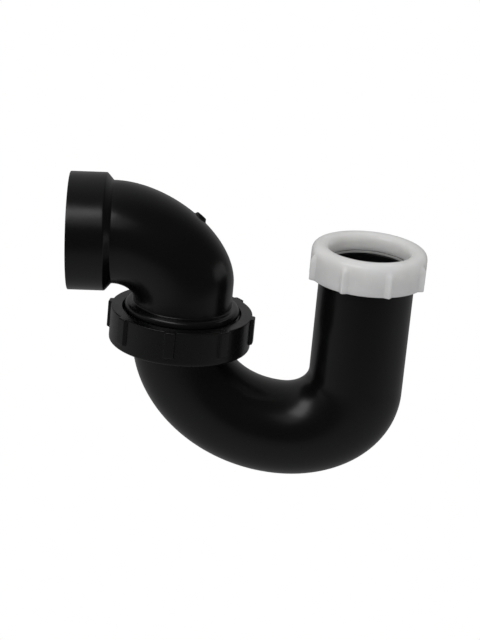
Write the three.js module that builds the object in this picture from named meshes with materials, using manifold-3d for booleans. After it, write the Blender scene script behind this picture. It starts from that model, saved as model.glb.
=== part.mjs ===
// A 1-1/2 in plastic P-trap with a union: a trap arm elbow with a drain hub, a J-bend, the union nut
// and gasket between them, and a slip nut and washer at the inlet. Millimetres, +Z up.
// The origin is the centre of the drain hub's mouth, and the inlet leg stands on the +X side.
import * as THREE from "three";
import { mergeVertices } from "three/addons/utils/BufferGeometryUtils.js";
import Module from "manifold-3d";

const wasm = await Module();
wasm.setup();

// Fits of the 1-1/2 in size
const PIPE_SOCKET_RADIUS = 24.2; // takes a 48.3 mm drain pipe
const PIPE_SOCKET_DEPTH = 17.5;
const TAILPIECE_BORE_RADIUS = 19.5; // takes a 38.1 mm tailpiece
const TUBE_RADIUS = 22.9;
const TUBE_WALL = TUBE_RADIUS - TAILPIECE_BORE_RADIUS;
const GAP = 0.3; // between pieces that touch
const CHAMFER = 0.5; // on moulded edges
const ROOT = 1; // how deep joined shapes sit in each other
const OVERRUN = 1; // how far a cut runs past the face it opens

// Trap arm elbow. Heights are above its sealing face, on the union's axis.
const ELBOW_RADIUS = 23.7;
const ELBOW_WALL = 3.6;
const NECK_RADIUS = 24.6;
const NECK_X = -35.5;
const NECK_Z = 43;
const ARM_FALL = THREE.MathUtils.degToRad(3.3); // the arm falls towards the drain
const HUB_RADIUS = 28.2;
const HUB_FLARE = 3.6; // length of the cone from neck to hub
const HUB_REACH = 21.2; // neck to mouth
const HEEL_START_Z = 21.8; // where the outside of the bend starts to turn
const HEEL_WEIGHT = 0.52;
const THROAT_START_Z = 11.7; // where the inside of the bend starts to turn
const THROAT_WEIGHT = 0.65;
// Moulding stub on the heel, turned a little to the back
const GATE_STUB = { radius: 3, height: 1.4, step: 4, turn: THREE.MathUtils.degToRad(17) };

// Union: the elbow's collar has the male thread, and the nut holds the J-bend's flange up to it.
const COLLAR_ROOT_RADIUS = 26.8;
const COLLAR_BAND_RADIUS = 27.6;
const COLLAR_BAND_Z = 7;
const COLLAR_TOP_Z = 10.3;
const COLLAR_ROUNDING = 1.2;
const UNION_NUT_RADIUS = 34.1;
const UNION_NUT_BORE_RADIUS = 28.65;
const UNION_NUT_TOP_Z = 7.2;
const UNION_NUT_BOTTOM_Z = -9.6;
const UNION_LIP_RADIUS = 25.4;
const UNION_LIP_HEIGHT = 3.6;
const LUG_COUNT = 8;
const LUG_RADIUS = 35.6;
const LUG_WIDTH = 5.3;
const LUG_HEIGHT = 13.4;
const LUG_TURN = THREE.MathUtils.degToRad(-7);
const LUG_FOOT_DEGREES = 60; // how much of the arc under each lug is left
const GASKET_THICKNESS = 1.5;
const GASKET_RADII = [20.4, 26.4];
const FLANGE_RADIUS = 26.6;

// J-bend. The inside and the outside of the bend are conics, with places above the sealing face.
const LEG_SPACING = 86.8;
const BEND_START_Z = -4.9;
const BEND_INSIDE = { lowX: 52.6, lowZ: -26.4, endZ: -16.9 };
const BEND_OUTSIDE = { lowX: 53.5, lowZ: -72, endZ: -25.7 };
const BEND_FALL_WEIGHT = 0.68; // down to the lowest point
const BEND_RISE_WEIGHT = 0.75; // from there up to the inlet leg

// Slip nut. Heights are above its bottom rim.
const SLIP_NUT_Z = 30.9;
const SLIP_NUT_HEIGHT = 15.8;
const SLIP_NUT_RADIUS = 27.7;
const SLIP_NUT_BORE_RADIUS = 24.65;
const SLIP_THROAT_RADIUS = 19.5;
const SLIP_SEAT_HEIGHT = 7.6; // underside of the throat, on the washer
const SLIP_CROWN_ROUNDING = 2.4; // from the top into the throat
const SLIP_EDGE_ROUNDING = 4.4; // from the top to the outside
const RIB_COUNT = 8;
const RIB_RADIUS = 29.7;
const RIB_WIDTH = 2.4;
const RIB_TURN = THREE.MathUtils.degToRad(18.7);
const RIB_TOP = 10.5; // above it the ribs slope back to the nut at 45 degrees
const WASHER_THICKNESS = 1;
const WASHER_RADII = [19.2, 23.8];
const WASHER_BEVEL = 0.8;
const INLET_RIM_HEIGHT = SLIP_SEAT_HEIGHT - WASHER_THICKNESS - 2 * GAP;

// Threads: the same form on both nuts, one start, right-handed.
const PITCH = 2.8;
const THREAD_BASE = 1.7;
const THREAD_CREST = 0.6;
const THREAD_ROOTING = 0.4; // how deep a ridge sits in its wall
const THREAD_RUN_OUT = 0.12; // turns over which a ridge rises from its wall
const UNION_THREADS = {
  male: { wall: COLLAR_ROOT_RADIUS, crest: 28, z: 1.3, from: Math.PI, turns: 1.7 },
  female: { wall: UNION_NUT_BORE_RADIUS, crest: 27.25, z: -1.5, from: 0, turns: 2.5 },
};
const SLIP_THREADS = {
  male: { wall: TUBE_RADIUS, crest: 24.05, z: 1, from: Math.PI, turns: 1.35 },
  female: { wall: SLIP_NUT_BORE_RADIUS, crest: 23.3, z: 1, from: 0, turns: 1.5 },
};

// Fineness
const ROUND_STEPS = 40;
const TUBE_SIDES = 32;
const BEND_STEPS = 8;
const THREAD_STEPS_PER_TURN = 20;
const ARC_STEPS = 4;

const MATERIALS = {
  blackAbs: new THREE.MeshStandardMaterial({ color: 0x1a1a1b, roughness: 0.35 }),
  whiteNylon: new THREE.MeshStandardMaterial({ color: 0xdfe0dd, roughness: 0.4 }),
  greyWasher: new THREE.MeshStandardMaterial({ color: 0xa9aca9, roughness: 0.5 }),
  gasketRubber: new THREE.MeshStandardMaterial({ color: 0x2b2b2c, roughness: 0.8 }),
};

// A closed three.js geometry as a manifold-3d solid.
function solid(geometry) {
  const bare = geometry.clone();
  bare.deleteAttribute("normal");
  bare.deleteAttribute("uv");
  const merged = mergeVertices(bare, 1e-4);
  return new wasm.Manifold(
    new wasm.Mesh({
      numProp: 3,
      vertProperties: new Float32Array(merged.getAttribute("position").array),
      triVerts: new Uint32Array(merged.index.array),
    }),
  );
}

// A manifold-3d solid as a named three.js mesh.
function piece(name, made, material) {
  const mesh = made.getMesh();
  const geometry = new THREE.BufferGeometry();
  geometry.setAttribute("position", new THREE.BufferAttribute(mesh.vertProperties, 3));
  geometry.setIndex(new THREE.BufferAttribute(mesh.triVerts, 1));
  geometry.computeVertexNormals();
  const named = new THREE.Mesh(geometry, material);
  named.name = name;
  return named;
}

// Revolves a closed outline of [radius, z] points, listed anticlockwise, about the Z axis.
function turned(outline) {
  const points = [...outline, outline[0]].map(([r, z]) => new THREE.Vector2(r, z));
  return new THREE.LatheGeometry(points, ROUND_STEPS).rotateX(Math.PI / 2);
}

// A cylinder on the Z axis between two heights.
function rod(radius, fromZ, toZ) {
  return new THREE.CylinderGeometry(radius, radius, toZ - fromZ, ROUND_STEPS)
    .rotateX(Math.PI / 2)
    .translate(0, 0, (fromZ + toZ) / 2);
}

// Points of an arc in an outline, about a centre, between two angles in degrees.
function arc(r, z, radius, from, to) {
  return Array.from({ length: ARC_STEPS + 1 }, (_, i) => {
    const angle = THREE.MathUtils.degToRad(from + ((to - from) * i) / ARC_STEPS);
    return [r + radius * Math.cos(angle), z + radius * Math.sin(angle)];
  });
}

// A conic from start to end, whose ends point at the corner. A weight of 0.707 makes it a quarter
// of an ellipse, and less makes it flatter.
function conic(start, corner, end, weight) {
  return Array.from({ length: BEND_STEPS + 1 }, (_, i) => {
    const t = i / BEND_STEPS;
    const shares = [(1 - t) ** 2, 2 * weight * t * (1 - t), t ** 2];
    const total = shares[0] + shares[1] + shares[2];
    return new THREE.Vector2()
      .addScaledVector(start, shares[0] / total)
      .addScaledVector(corner, shares[1] / total)
      .addScaledVector(end, shares[2] / total);
  });
}

// A closed surface through rings of equal size, each turning anticlockwise about the way onwards.
function skinned(rings) {
  const sides = rings[0].length;
  const middles = [rings[0], rings.at(-1)].map((ring) =>
    ring.reduce((sum, p) => sum.add(p), new THREE.Vector3()).divideScalar(sides),
  );
  const points = [...rings.flat(), ...middles];
  const lastRing = (rings.length - 1) * sides;
  const faces = [];
  for (let k = 0; k < sides; k++) {
    const next = (k + 1) % sides;
    for (let ring = 0; ring < lastRing; ring += sides) {
      faces.push(ring + k, ring + next, ring + sides + next);
      faces.push(ring + k, ring + sides + next, ring + sides + k);
    }
    faces.push(points.length - 2, next, k);
    faces.push(points.length - 1, lastRing + k, lastRing + next);
  }
  return new THREE.BufferGeometry().setFromPoints(points).setIndex(faces);
}

// A bent tube in the XZ plane, from its inside and outside edges and its half depth along Y at
// each pair of edge points, drawn in by an inset.
function bentTube({ inside, outside, depths }, inset) {
  const rings = inside.map((edge, i) => {
    const middle = edge.clone().add(outside[i]).multiplyScalar(0.5);
    const half = outside[i].clone().sub(middle);
    half.setLength(half.length() - inset);
    return Array.from({ length: TUBE_SIDES }, (_, k) => {
      const angle = (2 * Math.PI * k) / TUBE_SIDES;
      const across = middle.clone().addScaledVector(half, Math.cos(angle));
      return new THREE.Vector3(across.x, (depths[i] - inset) * Math.sin(angle), across.y);
    });
  });
  return skinned(rings);
}

// A helical ridge on a wall about the Z axis. It points inwards where its crest is the smaller.
function threadRidge({ wall, crest, z, from, turns }) {
  const outward = Math.sign(crest - wall);
  const root = wall - outward * THREAD_ROOTING;
  const steps = Math.round(turns * THREAD_STEPS_PER_TURN);
  const rings = Array.from({ length: steps + 1 }, (_, i) => {
    const turn = (i * turns) / steps;
    const rise = Math.min(1, turn / THREAD_RUN_OUT, (turns - turn) / THREAD_RUN_OUT);
    const tip = wall + (crest - wall) * rise;
    const angle = from + 2 * Math.PI * turn;
    const ring = [
      [root, THREAD_BASE / 2],
      [tip, THREAD_CREST / 2],
      [tip, -THREAD_CREST / 2],
      [root, -THREAD_BASE / 2],
    ].map(
      ([r, up]) =>
        new THREE.Vector3(r * Math.cos(angle), r * Math.sin(angle), z + PITCH * turn + up),
    );
    return outward > 0 ? ring : ring.reverse();
  });
  return skinned(rings);
}

// Copies of a fin round the Z axis. The fin's outline is in the plane of radius and height.
function fins(outline, width, count, turn) {
  const shape = new THREE.Shape(outline.map(([r, z]) => new THREE.Vector2(r, z)));
  const fin = new THREE.ExtrudeGeometry(shape, { depth: width, bevelEnabled: false })
    .rotateX(Math.PI / 2)
    .translate(0, width / 2, 0);
  return Array.from({ length: count }, (_, i) =>
    solid(fin.clone().rotateZ(turn + (2 * Math.PI * i) / count)),
  );
}

const join = (first, ...others) => others.reduce((sum, other) => sum.add(other), first);
const at = (x, z) => new THREE.Vector2(x, z);

// The way the trap arm runs, from neck to mouth, and the way up across it.
const armWay = at(-Math.cos(ARM_FALL), -Math.sin(ARM_FALL));
const armUp = at(-Math.sin(ARM_FALL), Math.cos(ARM_FALL));
const neck = at(NECK_X, NECK_Z);
const mouth = neck.clone().addScaledVector(armWay, HUB_REACH);

// Places something modelled up the Z axis on the trap arm, with zero at the neck.
function onArm(geometry) {
  return geometry.rotateY(-Math.PI / 2 - ARM_FALL).translate(neck.x, 0, neck.y);
}

// One edge of the elbow: the throat for side -1, the heel for side 1.
function elbowEdge(side, startZ, weight) {
  const start = at(side * ELBOW_RADIUS, startZ);
  const end = neck.clone().addScaledVector(armUp, side * NECK_RADIUS);
  const corner = end.clone().addScaledVector(armWay, (start.x - end.x) / armWay.x);
  return [at(start.x, -GAP), ...conic(start, corner, end, weight)];
}

function elbowTube() {
  const inside = elbowEdge(-1, THROAT_START_Z, THROAT_WEIGHT);
  const outside = elbowEdge(1, HEEL_START_Z, HEEL_WEIGHT);
  const depths = inside.map((_, i) =>
    THREE.MathUtils.lerp(ELBOW_RADIUS, NECK_RADIUS, Math.max(0, i - 1) / BEND_STEPS),
  );
  return { inside, outside, depths };
}

function collar() {
  const rounding = COLLAR_ROUNDING;
  const inner = ELBOW_RADIUS - ELBOW_WALL;
  return turned([
    [inner, 0],
    [COLLAR_ROOT_RADIUS - CHAMFER, 0],
    [COLLAR_ROOT_RADIUS, CHAMFER],
    [COLLAR_ROOT_RADIUS, COLLAR_BAND_Z],
    [COLLAR_BAND_RADIUS, COLLAR_BAND_Z],
    ...arc(COLLAR_BAND_RADIUS - rounding, COLLAR_TOP_Z - rounding, rounding, 0, 90),
    [inner, COLLAR_TOP_Z],
  ]);
}

function hub() {
  return onArm(
    turned([
      [NECK_RADIUS / 2, -ROOT],
      [NECK_RADIUS - CHAMFER, -ROOT],
      [NECK_RADIUS, 0],
      [HUB_RADIUS, HUB_FLARE],
      [HUB_RADIUS, HUB_REACH - CHAMFER],
      [HUB_RADIUS - CHAMFER, HUB_REACH],
      [NECK_RADIUS / 2, HUB_REACH],
    ]),
  );
}

function gateStub(edge) {
  const foot = edge[GATE_STUB.step];
  const way = edge[GATE_STUB.step + 1].clone().sub(edge[GATE_STUB.step - 1]);
  const tilt = Math.PI / 2 + Math.atan2(way.x, way.y);
  return rod(GATE_STUB.radius, ELBOW_RADIUS / 2, ELBOW_RADIUS + GATE_STUB.height)
    .rotateX(-GATE_STUB.turn)
    .translate(0, 0, -ELBOW_RADIUS)
    .rotateY(tilt)
    .translate(foot.x, 0, foot.y);
}

function makeElbow() {
  const tube = elbowTube();
  const socketFloor = HUB_REACH - PIPE_SOCKET_DEPTH;
  const outer = join(
    solid(bentTube(tube, 0)),
    solid(collar()),
    solid(threadRidge(UNION_THREADS.male)),
    solid(hub()),
    solid(gateStub(tube.outside)),
  );
  return outer
    .subtract(solid(bentTube(tube, ELBOW_WALL)))
    .subtract(solid(rod(COLLAR_BAND_RADIUS, -OVERRUN, 0)))
    .subtract(solid(onArm(rod(NECK_RADIUS - ELBOW_WALL, -GAP, HUB_REACH))))
    .subtract(solid(onArm(rod(PIPE_SOCKET_RADIUS, socketFloor, HUB_REACH + OVERRUN))));
}

// One edge of the J-bend, from the union down, round and up to the inlet.
function bendEdge(side, { lowX, lowZ, endZ }, topZ, rimZ) {
  const start = at(side * TUBE_RADIUS, BEND_START_Z);
  const lowest = at(lowX, lowZ);
  const end = at(LEG_SPACING - side * TUBE_RADIUS, endZ);
  return [
    at(start.x, topZ),
    ...conic(start, at(start.x, lowZ), lowest, BEND_FALL_WEIGHT),
    ...conic(lowest, at(end.x, lowZ), end, BEND_RISE_WEIGHT).slice(1),
    at(end.x, rimZ),
  ];
}

function bendTube(topZ, rimZ) {
  const inside = bendEdge(1, BEND_INSIDE, topZ, rimZ);
  const outside = bendEdge(-1, BEND_OUTSIDE, topZ, rimZ);
  return { inside, outside, depths: inside.map(() => TUBE_RADIUS) };
}

const flangeTop = -GASKET_THICKNESS - 2 * GAP;
const lipTop = UNION_NUT_BOTTOM_Z + UNION_LIP_HEIGHT;

function makeBend() {
  const rimZ = SLIP_NUT_Z + INLET_RIM_HEIGHT;
  const flangeFoot = lipTop + GAP;
  const inner = TUBE_RADIUS - ROOT;
  const flange = turned([
    [inner, flangeFoot],
    [FLANGE_RADIUS - CHAMFER, flangeFoot],
    [FLANGE_RADIUS, flangeFoot + CHAMFER],
    [FLANGE_RADIUS, flangeTop],
    [inner, flangeTop],
  ]);
  const outer = join(
    solid(bentTube(bendTube(flangeTop, rimZ), 0)),
    solid(flange),
    solid(threadRidge(SLIP_THREADS.male).translate(LEG_SPACING, 0, SLIP_NUT_Z)),
  );
  const bore = bentTube(bendTube(flangeTop + OVERRUN, rimZ + OVERRUN), TUBE_WALL);
  return outer.subtract(solid(bore));
}

function makeUnionNut() {
  const ring = turned([
    [UNION_LIP_RADIUS, UNION_NUT_BOTTOM_Z],
    [UNION_NUT_RADIUS - 2 * CHAMFER, UNION_NUT_BOTTOM_Z],
    [UNION_NUT_RADIUS, UNION_NUT_BOTTOM_Z + 2 * CHAMFER],
    [UNION_NUT_RADIUS, UNION_NUT_TOP_Z - CHAMFER],
    [UNION_NUT_RADIUS - CHAMFER, UNION_NUT_TOP_Z],
    [UNION_NUT_BORE_RADIUS + CHAMFER, UNION_NUT_TOP_Z],
    [UNION_NUT_BORE_RADIUS, UNION_NUT_TOP_Z - CHAMFER],
    [UNION_NUT_BORE_RADIUS, lipTop],
    [UNION_LIP_RADIUS, lipTop],
  ]);
  const lugFoot = UNION_NUT_TOP_Z - LUG_HEIGHT;
  const proud = LUG_RADIUS - UNION_NUT_RADIUS;
  const lug = [
    [UNION_NUT_RADIUS - ROOT, lugFoot],
    [UNION_NUT_RADIUS, lugFoot],
    ...arc(UNION_NUT_RADIUS, lugFoot + proud, proud, -LUG_FOOT_DEGREES, 0),
    [LUG_RADIUS, UNION_NUT_TOP_Z - CHAMFER],
    [LUG_RADIUS - CHAMFER, UNION_NUT_TOP_Z],
    [UNION_NUT_RADIUS - ROOT, UNION_NUT_TOP_Z],
  ];
  return join(
    solid(ring),
    ...fins(lug, LUG_WIDTH, LUG_COUNT, LUG_TURN),
    solid(threadRidge(UNION_THREADS.female)),
  );
}

function makeGasket() {
  const [inner, outer] = GASKET_RADII;
  return solid(
    turned([
      [inner, -GAP - GASKET_THICKNESS],
      [outer, -GAP - GASKET_THICKNESS],
      [outer, -GAP],
      [inner, -GAP],
    ]),
  );
}

function makeSlipNut() {
  const top = SLIP_NUT_HEIGHT;
  const edge = SLIP_EDGE_ROUNDING;
  const crown = SLIP_CROWN_ROUNDING;
  const ring = turned([
    [SLIP_NUT_BORE_RADIUS + CHAMFER, 0],
    [SLIP_NUT_RADIUS - CHAMFER, 0],
    [SLIP_NUT_RADIUS, CHAMFER],
    ...arc(SLIP_NUT_RADIUS - edge, top - edge, edge, 0, 90),
    ...arc(SLIP_THROAT_RADIUS + crown, top - crown, crown, 90, 180),
    [SLIP_THROAT_RADIUS, SLIP_SEAT_HEIGHT],
    [SLIP_NUT_BORE_RADIUS, SLIP_SEAT_HEIGHT],
    [SLIP_NUT_BORE_RADIUS, CHAMFER],
  ]);
  const inner = SLIP_NUT_RADIUS - ROOT;
  const rib = [
    [inner, 0],
    [RIB_RADIUS - CHAMFER, 0],
    [RIB_RADIUS, CHAMFER],
    [RIB_RADIUS, RIB_TOP],
    [inner, RIB_TOP + RIB_RADIUS - inner],
  ];
  const nut = join(
    solid(ring),
    ...fins(rib, RIB_WIDTH, RIB_COUNT, RIB_TURN),
    solid(threadRidge(SLIP_THREADS.female)),
  );
  return nut.translate([LEG_SPACING, 0, SLIP_NUT_Z]);
}

function makeWasher() {
  const [inner, outer] = WASHER_RADII;
  const top = SLIP_SEAT_HEIGHT - GAP;
  const ring = turned([
    [inner, top - WASHER_THICKNESS],
    [outer - WASHER_BEVEL, top - WASHER_THICKNESS],
    [outer, top - WASHER_THICKNESS + WASHER_BEVEL],
    [outer, top],
    [inner, top],
  ]);
  return solid(ring).translate([LEG_SPACING, 0, SLIP_NUT_Z]);
}

const trap = new THREE.Group();
trap.add(piece("trap_arm_elbow", makeElbow(), MATERIALS.blackAbs));
trap.add(piece("union_gasket", makeGasket(), MATERIALS.gasketRubber));
trap.add(piece("union_nut", makeUnionNut(), MATERIALS.blackAbs));
trap.add(piece("j_bend", makeBend(), MATERIALS.blackAbs));
trap.add(piece("slip_washer", makeWasher(), MATERIALS.greyWasher));
trap.add(piece("slip_nut", makeSlipNut(), MATERIALS.whiteNylon));
trap.position.set(-mouth.x, 0, -mouth.y);

export default trap;
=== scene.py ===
"""The looks of the P-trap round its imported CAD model: fine meshes, materials, light and camera."""

import math

import bmesh
import bpy
import numpy as np
from mathutils import Matrix, Vector


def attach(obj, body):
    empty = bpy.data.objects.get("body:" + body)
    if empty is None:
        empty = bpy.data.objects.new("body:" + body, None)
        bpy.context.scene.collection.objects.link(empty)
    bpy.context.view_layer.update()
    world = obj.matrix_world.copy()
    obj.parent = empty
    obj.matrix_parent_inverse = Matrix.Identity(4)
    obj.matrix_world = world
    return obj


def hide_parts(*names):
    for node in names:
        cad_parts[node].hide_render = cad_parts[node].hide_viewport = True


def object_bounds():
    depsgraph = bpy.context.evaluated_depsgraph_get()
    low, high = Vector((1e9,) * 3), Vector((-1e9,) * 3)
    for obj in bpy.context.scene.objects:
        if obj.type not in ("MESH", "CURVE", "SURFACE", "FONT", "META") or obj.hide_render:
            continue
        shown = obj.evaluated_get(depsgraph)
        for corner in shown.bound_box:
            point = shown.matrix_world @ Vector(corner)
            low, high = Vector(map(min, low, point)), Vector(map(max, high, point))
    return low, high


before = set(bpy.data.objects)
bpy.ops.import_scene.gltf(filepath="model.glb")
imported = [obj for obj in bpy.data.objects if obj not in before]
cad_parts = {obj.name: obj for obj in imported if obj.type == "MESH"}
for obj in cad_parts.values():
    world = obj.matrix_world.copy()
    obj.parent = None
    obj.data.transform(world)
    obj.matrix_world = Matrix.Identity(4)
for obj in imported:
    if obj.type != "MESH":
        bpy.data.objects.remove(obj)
cad_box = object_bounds()

# Shapes are in millimetres, on the union's axis and above the elbow's sealing face. They go into
# the CAD frame by this scale and shift.
MM = 0.001
UNION_AT = np.array((0.056665, 0, -0.04178))

PIPE_SOCKET_RADIUS = 24.2
PIPE_SOCKET_DEPTH = 17.5
TAILPIECE_BORE_RADIUS = 19.5
TUBE_RADIUS = 22.9
TUBE_WALL = TUBE_RADIUS - TAILPIECE_BORE_RADIUS

ELBOW_RADIUS = 23.7
ELBOW_WALL = 3.6
NECK_RADIUS = 24.6
NECK = np.array((-35.5, 43))
ARM_FALL = math.radians(3.3)
HUB_RADIUS = 28.2
HUB_FLARE = 3.6
HUB_REACH = 21.2
HEEL_START_Z = 21.8
HEEL_WEIGHT = 0.52
THROAT_START_Z = 11.7
THROAT_WEIGHT = 0.65
GATE_STEP = 50
GATE_TURN = math.radians(17)
GATE_RADIUS = 3
GATE_HEIGHT = 1.4
GATE_EDGE = 0.4

COLLAR_ROOT_RADIUS = 26.8
COLLAR_BAND_RADIUS = 27.6
COLLAR_BAND_Z = 7
COLLAR_TOP_Z = 10.3
COLLAR_ROUNDING = 2.6
UNION_NUT_RADIUS = 34.1
UNION_NUT_BORE_RADIUS = 28.65
UNION_NUT_TOP_Z = 7.2
UNION_NUT_BOTTOM_Z = -9.6
UNION_LIP_RADIUS = 25.4
UNION_LIP_TOP_Z = -6
LUG_COUNT = 8
LUG_RADIUS = 35.6
LUG_WIDTH = 5.3
LUG_HEIGHT = 13.4
LUG_TURN = math.radians(-7)
GASKET_RADII = (20.4, 26.4)
GASKET_Z = (-1.8, -0.3)
FLANGE_RADIUS = 26.6
FLANGE_TOP_Z = -2.1
FLANGE_BOTTOM_Z = -5.7

LEG_SPACING = 86.8
BEND_START_Z = -4.9
BEND_INSIDE = {"low": (52.6, -26.4), "end_z": -16.9}
BEND_OUTSIDE = {"low": (53.5, -72), "end_z": -25.7}
BEND_FALL_WEIGHT = 0.68
BEND_RISE_WEIGHT = 0.75

SLIP_NUT_Z = 30.9
SLIP_NUT_HEIGHT = 15.8
SLIP_NUT_RADIUS = 27.7
SLIP_CROWN_ROUNDING = 4.2
SLIP_NUT_BORE_RADIUS = 24.65
SLIP_THROAT_RADIUS = 19.5
SLIP_THROAT_ROUNDING = 3.8
SLIP_SEAT_HEIGHT = 7.6
RIB_COUNT = 8
RIB_RADIUS = 29.7
RIB_WIDTH = 2.4
RIB_TURN = math.radians(18.7)
RIB_ROOT = 2
RIB_FLANK = 2.6
RIB_TOP = 9.5
RIB_TOP_FALL = 0.2
WASHER_RADII = (19.2, 23.8)
WASHER_HEIGHTS = (6.3, 7.3)
INLET_RIM_HEIGHT = 6

PITCH = 2.8
THREAD_BASE = 1.7
THREAD_CREST = 0.6
THREAD_RUN_OUT = 0.12
COLLAR_THREAD = {
    "wall": COLLAR_ROOT_RADIUS,
    "crest": 28,
    "z": 1.3,
    "start": math.pi,
    "turns": 1.7,
}
UNION_NUT_THREAD = {
    "wall": UNION_NUT_BORE_RADIUS,
    "crest": 27.25,
    "z": -1.5,
    "start": 0,
    "turns": 2.5,
}
INLET_THREAD = {
    "wall": TUBE_RADIUS,
    "crest": 24.05,
    "z": SLIP_NUT_Z + 1,
    "start": math.pi,
    "turns": 1.35,
}
SLIP_NUT_THREAD = {
    "wall": SLIP_NUT_BORE_RADIUS,
    "crest": 23.3,
    "z": 1,
    "start": 0,
    "turns": 1.5,
}

# Fineness
SIDES = 180
BEND_STEPS = 110
LEG_STEPS = 30
ROUNDING_STEPS = 8
STRAIGHT_STEP = 1.2
THREAD_STEP = 0.12
STEPS_BETWEEN_FINS = 30
FIN_STEPS = 10
RISER_STEPS = 10
OUTSIDE_GATHER = 0.5

# Materials, with lengths in metres
MOTTLE = 0.07
MOTTLE_SCALE = 60
GLOSS_SCALE = 90
GRAIN_SCALE = 1400
GRAIN_DEPTH = 0.0001
NOISE_RANGE = (0.3, 0.7)
SUBSURFACE_DEPTH = 0.006
SUBSURFACE_TINT = (1, 1, 0.95)

# Floor, surroundings and lamps, in metres and watts
FLOOR_SIZE = 30
FLOOR_DROP = 0.15
FLOOR_ROUGHNESS = 0.9
FLOOR_PAINTED_SHADE_Y = (-0.9, -0.1)
FLOOR_PAINTED_SHADE = (0.06, 0.35)
FLOOR_GLOW = 0.42
ROOM_LEAN = -0.75
ROOM_SPAN = (-0.5, 0.9)
ROOM_STRENGTH = (0.035, 0.28)
AMBIENT_STRENGTH = 0.55
LIGHT_TARGET = (0.085, 0, -0.04)
KEY_LIGHT = {"place": (-0.36, -0.5, 0.76), "size": (0.7, 0.42), "power": 1.65}
WIDE_LIGHT = {"place": (-0.35, -0.6, 0.7), "size": (1.3, 0.5), "power": 0.8}

CAMERA_TARGET = Vector((0.084975, 0, -0.03769))
CAMERA_DISTANCE = 1.2029
CAMERA_AZIMUTH = math.radians(-1.01)
CAMERA_ELEVATION = math.radians(20)
CAMERA_ROLL = math.radians(5.42)
CAMERA_LENS = 140.625
CAMERA_SENSOR = 36


def even_angles():
    """Angles round a tube, closest together at angle 0, which is its outside."""
    even = np.linspace(0, 2 * math.pi, SIDES, endpoint=False)
    return even - OUTSIDE_GATHER * np.sin(even)


def fin_angles(count, turn, half_width):
    """Angles round a nut, closest together at the sides of its fins."""
    sector = 2 * math.pi / count
    side = 0.25 * half_width
    marks = np.concatenate(
        [
            np.linspace(-half_width - side, -half_width + side, FIN_STEPS),
            np.linspace(-half_width + side, half_width - side, FIN_STEPS)[1:-1],
            np.linspace(half_width - side, half_width + side, FIN_STEPS),
            np.linspace(half_width + side, sector - half_width - side, STEPS_BETWEEN_FINS)[1:-1],
        ]
    )
    return np.concatenate([turn + sector * i + marks for i in range(count)])


def smooth(value):
    """A smooth step from 0 to 1 as the value goes from 0 to 1."""
    value = np.clip(value, 0, 1)
    return value * value * (3 - 2 * value)


def fin_share(angles, count, turn, half_width):
    """1 on a fin and 0 between fins, with a steep side between."""
    sector = 2 * math.pi / count
    off = np.abs((angles - turn + sector / 2) % sector - sector / 2)
    return smooth((half_width - off) / (0.3 * half_width) + 0.5)


def hoop(angles, middle, across, width, depth):
    """Points round a hoop. Angle 0 lies across in the XZ plane, and a quarter turn is +Y."""
    x = middle[0] + across[0] * width * np.cos(angles)
    y = depth * np.sin(angles)
    z = middle[1] + across[1] * width * np.cos(angles)
    return np.stack(np.broadcast_arrays(x, y, z), axis=1)


def rounded(corners, angles, closed=True):
    """An outline through corners of (radius, height, rounding), each cut back by its rounding.

    A radius or height may be one number or one for each angle. The straights get extra points.
    """
    places = [
        np.stack(np.broadcast_arrays(r, z, 0 * angles)[:2], axis=1) for r, z, _ in corners
    ]
    cuts = [cut for _, _, cut in corners]
    count = len(corners)
    outline = []
    for i in range(count):
        if not closed and i in (0, count - 1):
            outline.append([places[i]])
            continue
        before = places[i - 1] - places[i]
        after = places[(i + 1) % count] - places[i]
        start = places[i] + cuts[i] * before / np.linalg.norm(before, axis=1, keepdims=True)
        end = places[i] + cuts[i] * after / np.linalg.norm(after, axis=1, keepdims=True)
        outline.append(
            [
                (1 - t) ** 2 * start + 2 * t * (1 - t) * places[i] + t**2 * end
                for t in np.linspace(0, 1, ROUNDING_STEPS + 1)
            ]
        )
    points = []
    for i, arc in enumerate(outline):
        points += arc
        if not closed and i == count - 1:
            break
        onwards = outline[(i + 1) % count][0]
        length = np.linalg.norm(onwards - arc[-1], axis=1).max()
        steps = max(2, math.ceil(length / STRAIGHT_STEP))
        points += [
            arc[-1] + (onwards - arc[-1]) * share for share in np.linspace(0, 1, steps + 1)[1:-1]
        ]
    return points


def turned(angles, outline, thread=None):
    """Hoops about the Z axis through an outline of (radius, height) points."""
    rows = []
    for point in outline:
        radius, height = point[:, 0], point[:, 1]
        if thread:
            radius = radius + thread_height(angles, radius, height, **thread)
        rows.append(hoop(angles, (0, height), (1, 0), radius, radius))
    return rows


def thread_height(angles, radius, height, wall, crest, z, start, turns):
    """How far a helical ridge stands out of its wall at each angle."""
    part_turn = ((angles - start) / (2 * math.pi)) % 1
    rise = np.zeros_like(angles)
    for whole in range(math.ceil(turns)):
        turn = part_turn + whole
        off = np.abs(height - z - PITCH * turn)
        flank = (THREAD_BASE / 2 - off) / ((THREAD_BASE - THREAD_CREST) / 2)
        fade = np.minimum(turn, turns - turn) / THREAD_RUN_OUT
        rise = np.maximum(rise, smooth(flank) * smooth(fade))
    on_wall = np.abs(radius - wall) < 0.01
    return rise * (crest - wall) * on_wall


def wall_points(angles, radius, low, high):
    """Closely spaced outline points up or down a threaded wall."""
    steps = math.ceil(abs(high - low) / THREAD_STEP)
    return [
        np.stack(np.broadcast_arrays(radius, z, 0 * angles)[:2], axis=1)
        for z in np.linspace(low, high, steps + 1)
    ]


def conic(start, corner, end, weight, steps, gather=0.0):
    """A conic whose ends point at the corner, with its points gathered towards its middle."""
    even = np.linspace(0, 1, steps + 1)
    t = (even + gather * np.sin(2 * math.pi * even) / (2 * math.pi))[:, None]
    shares = (1 - t) ** 2, 2 * weight * t * (1 - t), t**2
    ends = shares[0] * start + shares[1] * corner + shares[2] * end
    return ends / sum(shares)


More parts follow.
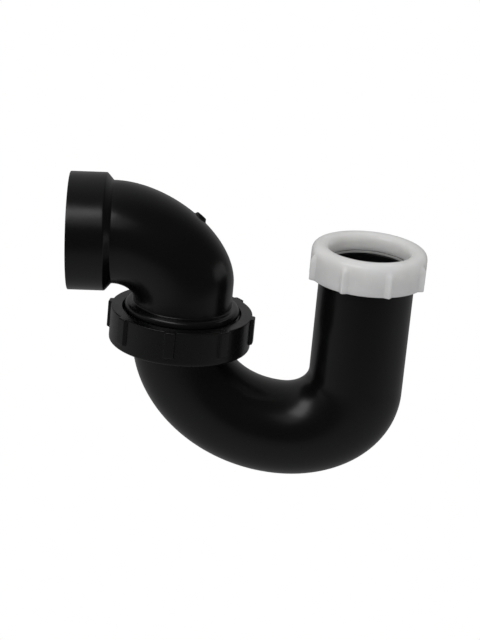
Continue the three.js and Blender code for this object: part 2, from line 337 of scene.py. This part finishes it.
def tube(angles, inside, outside, depths, inset=0.0):
    """Hoops between the inside and the outside edge of a bent tube, drawn in by an inset."""
    rows = []
    for near, far, depth in zip(inside, outside, depths):
        middle = (near + far) / 2
        half = np.linalg.norm(far - middle)
        across = (far - middle) / half
        rows.append(hoop(angles, middle, across, half - inset, depth - inset))
    return rows


def woven(name, rows, material, body, node, shift=(0, 0, 0)):
    """A closed skin over rows of points, the last joined to the first, that stands for a CAD node."""
    sides = len(rows[0])
    points = (np.concatenate(rows) + np.array(shift)) * MM + UNION_AT
    faces = []
    for i in range(len(rows)):
        row, after = i * sides, (i + 1) % len(rows) * sides
        for k in range(sides):
            on = (k + 1) % sides
            faces.append((row + k, row + on, after + on, after + k))
    mesh = bpy.data.meshes.new(name)
    mesh.from_pydata(points.tolist(), [], faces)
    shell = bmesh.new()
    shell.from_mesh(mesh)
    bmesh.ops.remove_doubles(shell, verts=shell.verts, dist=1e-7)
    bmesh.ops.recalc_face_normals(shell, faces=shell.faces)
    if shell.calc_volume(signed=True) < 0:
        bmesh.ops.reverse_faces(shell, faces=shell.faces)
    shell.to_mesh(mesh)
    shell.free()
    mesh.shade_smooth()
    mesh.materials.append(material)
    piece = bpy.data.objects.new(name, mesh)
    bpy.context.scene.collection.objects.link(piece)
    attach(piece, body)
    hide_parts(node)
    return piece


ARM_WAY = np.array((-math.cos(ARM_FALL), -math.sin(ARM_FALL)))
ARM_UP = np.array((-math.sin(ARM_FALL), math.cos(ARM_FALL)))


def elbow_edge(side, start_z, weight):
    """One edge of the elbow: the throat for side -1, the heel for side 1."""
    start = np.array((side * ELBOW_RADIUS, start_z))
    end = NECK + side * NECK_RADIUS * ARM_UP
    corner = end + ARM_WAY * (start[0] - end[0]) / ARM_WAY[0]
    return conic(start, corner, end, weight, BEND_STEPS, gather=0.5)


def gate_stub(rows, heel):
    """Lifts the round moulding stub out of the elbow's heel, a little to the back."""
    foot = np.array((heel[GATE_STEP][0], 0, heel[GATE_STEP][1]))
    way = heel[GATE_STEP + 1] - heel[GATE_STEP - 1]
    straight_out = np.array((way[1], 0, -way[0])) / np.linalg.norm(way)
    middle = foot - ELBOW_RADIUS * straight_out
    out = math.cos(GATE_TURN) * straight_out + math.sin(GATE_TURN) * np.array((0, 1, 0))
    lifted = []
    for row in rows:
        off = row - middle
        along = off @ out
        away = np.linalg.norm(off - along[:, None] * out, axis=1)
        share = smooth((GATE_RADIUS - away) / (2 * GATE_EDGE) + 0.5) * (along > 0)
        lifted.append(row + (share * (ELBOW_RADIUS + GATE_HEIGHT - along))[:, None] * out)
    return lifted


def make_elbow(material):
    angles = even_angles()
    inner = ELBOW_RADIUS - ELBOW_WALL
    collar_foot = rounded(
        [(inner, 3, 0), (inner, 0, 0.4), (COLLAR_ROOT_RADIUS, 0, 0.5), (COLLAR_ROOT_RADIUS, 0.6, 0)],
        angles,
        closed=False,
    )
    collar_wall = wall_points(angles, COLLAR_ROOT_RADIUS, 0.7, COLLAR_BAND_Z - 0.3)
    collar_head = rounded(
        [
            (COLLAR_ROOT_RADIUS, COLLAR_BAND_Z - 0.2, 0),
            (COLLAR_ROOT_RADIUS, COLLAR_BAND_Z, 0.1),
            (COLLAR_BAND_RADIUS, COLLAR_BAND_Z, 0.2),
            (COLLAR_BAND_RADIUS, COLLAR_TOP_Z, COLLAR_ROUNDING),
            (ELBOW_RADIUS, COLLAR_TOP_Z, 0.9),
            (ELBOW_RADIUS, COLLAR_TOP_Z + 1, 0),
        ],
        angles,
        closed=False,
    )
    throat = elbow_edge(-1, THROAT_START_Z, THROAT_WEIGHT)
    heel = elbow_edge(1, HEEL_START_Z, HEEL_WEIGHT)
    depths = np.linspace(ELBOW_RADIUS, NECK_RADIUS, BEND_STEPS + 1)
    lead_in = [throat[0] - (0, 0.2), heel[0] - (0, HEEL_START_Z - THROAT_START_Z)]
    shares = np.linspace(0, 1, RISER_STEPS, endpoint=False)
    riser_inside = [lead_in[0] + (throat[0] - lead_in[0]) * share for share in shares]
    riser_outside = [lead_in[1] + (heel[0] - lead_in[1]) * share for share in shares]
    riser_depths = [ELBOW_RADIUS] * len(shares)
    outer = tube(angles, riser_inside, riser_outside, riser_depths)
    outer += gate_stub(tube(angles, throat, heel, depths), heel)
    bore = tube(angles, riser_inside, riser_outside, riser_depths, ELBOW_WALL)
    bore += tube(angles, throat, heel, depths, ELBOW_WALL)
    floor = HUB_REACH - PIPE_SOCKET_DEPTH
    neck_bore = NECK_RADIUS - ELBOW_WALL
    hub = rounded(
        [
            (NECK_RADIUS, 0.2, 0),
            (NECK_RADIUS + 0.05, 0.5, 0.2),
            (HUB_RADIUS, HUB_FLARE, 0.6),
            (HUB_RADIUS, HUB_REACH, 0.5),
            (PIPE_SOCKET_RADIUS + 0.7, HUB_REACH, 0.2),
            (PIPE_SOCKET_RADIUS, HUB_REACH - 1.4, 0.4),
            (PIPE_SOCKET_RADIUS, floor, 0.4),
            (neck_bore, floor, 0.5),
            (neck_bore, 0.2, 0),
        ],
        angles,
        closed=False,
    )
    hub_rows = [
        hoop(
            angles,
            (NECK[0] + ARM_WAY[0] * point[:, 1], NECK[1] + ARM_WAY[1] * point[:, 1]),
            ARM_UP,
            point[:, 0],
            point[:, 0],
        )
        for point in hub
    ]
    rows = turned(angles, collar_foot + collar_wall + collar_head, COLLAR_THREAD)
    rows += outer + hub_rows + bore[::-1]
    return woven("elbow", rows, material, "elbow", "trap_arm_elbow")


def bend_edge(side, low, end_z):
    """One edge of the J-bend, from the union down, round and up to the inlet leg."""
    low = np.array(low)
    start = np.array((side * TUBE_RADIUS, BEND_START_Z))
    end = np.array((LEG_SPACING - side * TUBE_RADIUS, end_z))
    fall = conic(start, np.array((start[0], low[1])), low, BEND_FALL_WEIGHT, BEND_STEPS)
    rise = conic(low, np.array((end[0], low[1])), end, BEND_RISE_WEIGHT, BEND_STEPS)
    leg_top = np.array((end[0], SLIP_NUT_Z - 0.2))
    leg = [end + (leg_top - end) * share for share in np.linspace(0, 1, LEG_STEPS + 1)[1:]]
    return np.concatenate([fall, rise[1:], leg])


def make_bend(material):
    angles = math.pi - even_angles()
    inside = bend_edge(1, **BEND_INSIDE)
    outside = bend_edge(-1, **BEND_OUTSIDE)
    clear = np.maximum(inside[:, 1], outside[:, 1]) < FLANGE_BOTTOM_Z - 0.6
    clear[BEND_STEPS:] = True
    depths = np.full(len(inside), TUBE_RADIUS)
    # Known fault: the turned hoops and the tube's hoops run opposite ways round, so the strips
    # that join them, at the union and at the inlet, cross the bore.
    from_outside = angles - math.pi
    flange = rounded(
        [
            (TAILPIECE_BORE_RADIUS, FLANGE_BOTTOM_Z, 0),
            (TAILPIECE_BORE_RADIUS, FLANGE_TOP_Z, 0.3),
            (FLANGE_RADIUS, FLANGE_TOP_Z, 0.3),
            (FLANGE_RADIUS, FLANGE_BOTTOM_Z, 0.5),
            (TUBE_RADIUS, FLANGE_BOTTOM_Z, 0.3),
            (TUBE_RADIUS, FLANGE_BOTTOM_Z - 0.4, 0),
        ],
        angles,
        closed=False,
    )
    rows = turned(angles, flange)
    rows += tube(from_outside, inside[clear], outside[clear], depths[clear])
    rim_z = SLIP_NUT_Z + INLET_RIM_HEIGHT
    wall = wall_points(angles, TUBE_RADIUS, SLIP_NUT_Z, rim_z - 0.6)
    rim = rounded(
        [
            (TUBE_RADIUS, rim_z - 0.5, 0),
            (TUBE_RADIUS, rim_z, 0.4),
            (TAILPIECE_BORE_RADIUS, rim_z, 0.6),
            (TAILPIECE_BORE_RADIUS, SLIP_NUT_Z, 0),
        ],
        angles,
        closed=False,
    )
    inlet = turned(angles, wall + rim, INLET_THREAD)
    rows += [row + (LEG_SPACING, 0, 0) for row in inlet]
    rows += tube(from_outside, inside[clear], outside[clear], depths[clear], TUBE_WALL)[::-1]
    return woven("j_bend_shell", rows, material, "j_bend", "j_bend")


def make_union_nut(material):
    half_width = LUG_WIDTH / 2 / LUG_RADIUS
    angles = fin_angles(LUG_COUNT, LUG_TURN, half_width)
    proud = (LUG_RADIUS - UNION_NUT_RADIUS) * fin_share(angles, LUG_COUNT, LUG_TURN, half_width)
    lug_foot = UNION_NUT_TOP_Z - LUG_HEIGHT
    outside = rounded(
        [
            (UNION_NUT_BORE_RADIUS, UNION_LIP_TOP_Z + 0.6, 0),
            (UNION_NUT_BORE_RADIUS, UNION_LIP_TOP_Z, 0.4),
            (UNION_LIP_RADIUS, UNION_LIP_TOP_Z, 0.4),
            (UNION_LIP_RADIUS, UNION_NUT_BOTTOM_Z, 0.5),
            (UNION_NUT_RADIUS, UNION_NUT_BOTTOM_Z, 1.2),
            (UNION_NUT_RADIUS, lug_foot, 0.1),
            (UNION_NUT_RADIUS + proud, lug_foot + 0.7, 0.4),
            (UNION_NUT_RADIUS + proud, UNION_NUT_TOP_Z, 0.5),
            (UNION_NUT_BORE_RADIUS, UNION_NUT_TOP_Z, 0.5),
            (UNION_NUT_BORE_RADIUS, UNION_NUT_TOP_Z - 0.6, 0),
        ],
        angles,
        closed=False,
    )
    wall = wall_points(
        angles, UNION_NUT_BORE_RADIUS, UNION_NUT_TOP_Z - 0.7, UNION_LIP_TOP_Z + 0.7
    )
    rows = turned(angles, outside + wall, UNION_NUT_THREAD)
    return woven("union_nut_shell", rows, material, "union_nut", "union_nut")


def make_gasket(material):
    angles = even_angles()
    (inner, outer), (low, high) = GASKET_RADII, GASKET_Z
    corners = [(inner, low, 0.3), (outer, low, 0.3), (outer, high, 0.3), (inner, high, 0.3)]
    rows = turned(angles, rounded(corners, angles))
    return woven("gasket_ring", rows, material, "gasket", "union_gasket")


def with_ribs(angles, outline):
    """Raises the slip nut's ribs out of its round outline. Their tops slope back to its crown."""
    half_width = RIB_WIDTH / 2 / RIB_RADIUS
    sector = 2 * math.pi / RIB_COUNT
    off_rib = np.abs((angles - RIB_TURN + sector / 2) % sector - sector / 2)
    across = smooth((half_width - off_rib) / (RIB_FLANK * half_width) + 0.5)
    ribbed = []
    for point in outline:
        radius, height = point[:, 0], point[:, 1]
        slope = RIB_TOP_FALL * np.maximum(0, height - RIB_TOP) ** 2
        rise = np.maximum(0, RIB_RADIUS - slope - SLIP_NUT_RADIUS) * across
        on_side = smooth((radius - SLIP_NUT_RADIUS + RIB_ROOT) / RIB_ROOT)
        ribbed.append(np.stack((radius + rise * on_side, height), axis=1))
    return ribbed


def make_slip_nut(material):
    angles = fin_angles(RIB_COUNT, RIB_TURN, RIB_WIDTH / RIB_RADIUS)
    corners = [
        (SLIP_NUT_BORE_RADIUS, 0.9, 0),
        (SLIP_NUT_BORE_RADIUS, 0, 0.4),
        (SLIP_NUT_RADIUS, 0, 0.6),
        (SLIP_NUT_RADIUS, SLIP_NUT_HEIGHT, SLIP_CROWN_ROUNDING),
        (SLIP_THROAT_RADIUS, SLIP_NUT_HEIGHT, SLIP_THROAT_ROUNDING),
        (SLIP_THROAT_RADIUS, SLIP_SEAT_HEIGHT, 0.3),
        (SLIP_NUT_BORE_RADIUS, SLIP_SEAT_HEIGHT, 0.4),
        (SLIP_NUT_BORE_RADIUS, SLIP_SEAT_HEIGHT - 0.6, 0),
    ]
    outline = with_ribs(angles, rounded(corners, angles, closed=False))
    outline += wall_points(angles, SLIP_NUT_BORE_RADIUS, SLIP_SEAT_HEIGHT - 0.7, 1)
    rows = turned(angles, outline, SLIP_NUT_THREAD)
    place = (LEG_SPACING, 0, SLIP_NUT_Z)
    return woven("slip_nut_shell", rows, material, "slip_nut", "slip_nut", place)


def make_washer(material):
    angles = even_angles()
    (inner, outer), (low, high) = WASHER_RADII, WASHER_HEIGHTS
    corners = [
        (inner, low, 0.2),
        (outer - 0.8, low, 0.2),
        (outer, low + 0.8, 0.2),
        (outer, high, 0.2),
        (inner, high, 0.3),
    ]
    rows = turned(angles, rounded(corners, angles))
    place = (LEG_SPACING, 0, SLIP_NUT_Z)
    return woven("washer_ring", rows, material, "washer", "slip_washer", place)


def map_range(nodes, links, source, between, to):
    """A node that turns a value between two limits into one between two others."""
    span = nodes.new("ShaderNodeMapRange")
    span.inputs["From Min"].default_value, span.inputs["From Max"].default_value = between
    span.inputs["To Min"].default_value, span.inputs["To Max"].default_value = to
    links.new(source, span.inputs["Value"])
    return span


def plastic(name, colour, roughness, grain, ior=1.5, subsurface=0.0):
    """A moulded plastic: an even colour, a slightly uneven gloss and a fine grain."""
    material = bpy.data.materials.new(name)
    material.use_nodes = True
    nodes, links = material.node_tree.nodes, material.node_tree.links
    shader = nodes["Principled BSDF"]
    shader.inputs["IOR"].default_value = ior
    shader.inputs["Subsurface Weight"].default_value = subsurface
    shader.inputs["Subsurface Radius"].default_value = SUBSURFACE_TINT
    shader.inputs["Subsurface Scale"].default_value = SUBSURFACE_DEPTH
    place = nodes.new("ShaderNodeTexCoord")

    def noise(scale, detail):
        texture = nodes.new("ShaderNodeTexNoise")
        texture.inputs["Scale"].default_value = scale
        texture.inputs["Detail"].default_value = detail
        links.new(place.outputs["Object"], texture.inputs["Vector"])
        return texture.outputs["Fac"]

    def spread(source, to):
        return map_range(nodes, links, source, NOISE_RANGE, to).outputs["Result"]

    tint = nodes.new("ShaderNodeMix")
    tint.data_type = "RGBA"
    tint.inputs["A"].default_value = (*[c * (1 - MOTTLE) for c in colour], 1)
    tint.inputs["B"].default_value = (*[c * (1 + MOTTLE) for c in colour], 1)
    links.new(spread(noise(MOTTLE_SCALE, 3), (0, 1)), tint.inputs["Factor"])
    links.new(tint.outputs["Result"], shader.inputs["Base Color"])
    links.new(spread(noise(GLOSS_SCALE, 4), roughness), shader.inputs["Roughness"])
    bump = nodes.new("ShaderNodeBump")
    bump.inputs["Strength"].default_value = grain
    bump.inputs["Distance"].default_value = GRAIN_DEPTH
    links.new(noise(GRAIN_SCALE, 2), bump.inputs["Height"])
    links.new(bump.outputs["Normal"], shader.inputs["Normal"])
    return material


def make_floor():
    """A plain pale floor well below the trap, which its drain hub holds up.

    It glows white to the camera, and more dimly as light on the trap. Mirrored in the trap, it is
    grey with painted shade, darkest in front.
    """
    bpy.ops.mesh.primitive_grid_add(size=FLOOR_SIZE, x_subdivisions=4, y_subdivisions=4)
    floor = bpy.context.object
    floor.name = "floor"
    floor.location = (0, 0, cad_box[0].z - FLOOR_DROP)
    pale = bpy.data.materials.new("floor_pale")
    pale.use_nodes = True
    nodes, links = pale.node_tree.nodes, pale.node_tree.links
    shader = nodes["Principled BSDF"]
    shader.inputs["Roughness"].default_value = FLOOR_ROUGHNESS
    place = nodes.new("ShaderNodeNewGeometry")
    split = nodes.new("ShaderNodeSeparateXYZ")
    links.new(place.outputs["Position"], split.inputs["Vector"])
    # Painted shade: the floor's colour darkens towards the front, where the camera stands; only
    # reflections in the trap show it.
    painted_shade = map_range(nodes, links, split.outputs["Y"], FLOOR_PAINTED_SHADE_Y, FLOOR_PAINTED_SHADE)
    links.new(painted_shade.outputs["Result"], shader.inputs["Base Color"])
    path = nodes.new("ShaderNodeLightPath")
    strength = nodes.new("ShaderNodeMix")
    strength.inputs["A"].default_value = FLOOR_GLOW
    strength.inputs["B"].default_value = 1.0
    links.new(path.outputs["Is Camera Ray"], strength.inputs["Factor"])
    glow = nodes.new("ShaderNodeEmission")
    links.new(strength.outputs["Result"], glow.inputs["Strength"])
    glows = nodes.new("ShaderNodeMath")
    links.new(path.outputs["Is Camera Ray"], glows.inputs[0])
    links.new(path.outputs["Is Diffuse Ray"], glows.inputs[1])
    mix = nodes.new("ShaderNodeMixShader")
    links.new(glows.outputs[0], mix.inputs[0])
    links.new(shader.outputs[0], mix.inputs[1])
    links.new(glow.outputs[0], mix.inputs[2])
    links.new(mix.outputs[0], nodes["Material Output"].inputs["Surface"])
    floor.data.materials.append(pale)


def make_world():
    """Even pale light all round, with a dim room to mirror, darkest in front and to the right.

    Seen by the camera, it is plain white.
    """
    world = bpy.data.worlds.new("studio")
    bpy.context.scene.world = world
    world.use_nodes = True
    world.cycles.sampling_method = "NONE"
    nodes, links = world.node_tree.nodes, world.node_tree.links
    place = nodes.new("ShaderNodeTexCoord")
    split = nodes.new("ShaderNodeSeparateXYZ")
    links.new(place.outputs["Generated"], split.inputs["Vector"])
    across = nodes.new("ShaderNodeMath")
    across.operation = "MULTIPLY"
    across.inputs[1].default_value = ROOM_LEAN
    links.new(split.outputs["X"], across.inputs[0])
    bright_side = nodes.new("ShaderNodeMath")
    links.new(split.outputs["Y"], bright_side.inputs[0])
    links.new(across.outputs[0], bright_side.inputs[1])
    room = map_range(nodes, links, bright_side.outputs[0], ROOM_SPAN, ROOM_STRENGTH)
    room.interpolation_type = "SMOOTHSTEP"
    path = nodes.new("ShaderNodeLightPath")
    reflected = nodes.new("ShaderNodeMix")
    reflected.inputs["A"].default_value = AMBIENT_STRENGTH
    links.new(path.outputs["Is Glossy Ray"], reflected.inputs["Factor"])
    links.new(room.outputs["Result"], reflected.inputs["B"])
    seen = nodes.new("ShaderNodeMix")
    seen.inputs["B"].default_value = 1.0
    links.new(path.outputs["Is Camera Ray"], seen.inputs["Factor"])
    links.new(reflected.outputs["Result"], seen.inputs["A"])
    links.new(seen.outputs["Result"], nodes["Background"].inputs["Strength"])
    nodes["Background"].inputs["Color"].default_value = (1, 1, 1, 1)


def make_softbox(name, place, size, power):
    """A soft rectangular lamp that faces the trap."""
    lamp = bpy.data.lights.new(name, "AREA")
    lamp.shape = "RECTANGLE"
    lamp.size, lamp.size_y = size
    lamp.energy = power
    holder = bpy.data.objects.new(name, lamp)
    bpy.context.scene.collection.objects.link(holder)
    holder.location = place
    facing = Vector(LIGHT_TARGET) - Vector(place)
    holder.rotation_euler = facing.to_track_quat("-Z", "Y").to_euler()


def make_camera():
    """The camera at the photograph's angle."""
    cos, sin = math.cos, math.sin
    right = Vector((cos(CAMERA_AZIMUTH), sin(CAMERA_AZIMUTH), 0))
    ahead = Vector(
        (
            -sin(CAMERA_AZIMUTH) * cos(CAMERA_ELEVATION),
            cos(CAMERA_AZIMUTH) * cos(CAMERA_ELEVATION),
            -sin(CAMERA_ELEVATION),
        )
    )
    up = right.cross(ahead)
    camera_x = cos(CAMERA_ROLL) * right + sin(CAMERA_ROLL) * up
    camera_y = -sin(CAMERA_ROLL) * right + cos(CAMERA_ROLL) * up
    turn = Matrix((camera_x, camera_y, -ahead)).transposed().to_4x4()
    data = bpy.data.cameras.new("camera")
    data.lens = CAMERA_LENS
    data.sensor_width = CAMERA_SENSOR
    camera = bpy.data.objects.new("camera", data)
    bpy.context.scene.collection.objects.link(camera)
    camera.matrix_world = Matrix.Translation(CAMERA_TARGET - CAMERA_DISTANCE * ahead) @ turn
    bpy.context.scene.camera = camera


black_abs = plastic("black_abs", (0.0048, 0.0048, 0.0049), (0.22, 0.26), 0.12)
black_nut = plastic("black_abs_nut", (0.0048, 0.0048, 0.0049), (0.22, 0.32), 0.15)
white_nylon = plastic("white_nylon", (0.9, 0.895, 0.88), (0.12, 0.2), 0.1, 1.53, subsurface=1)
grey_washer = plastic("grey_washer", (0.42, 0.42, 0.41), (0.45, 0.55), 0.2)
gasket_rubber = plastic("gasket_rubber", (0.02, 0.02, 0.02), (0.7, 0.85), 0.4)

make_elbow(black_abs)
make_gasket(gasket_rubber)
make_union_nut(black_nut)
make_bend(black_abs)
make_washer(grey_washer)
make_slip_nut(white_nylon)

make_floor()
make_world()
make_softbox("key", **KEY_LIGHT)
make_softbox("wide", **WIDE_LIGHT)
make_camera()
bpy.context.scene.view_settings.view_transform = "Standard"
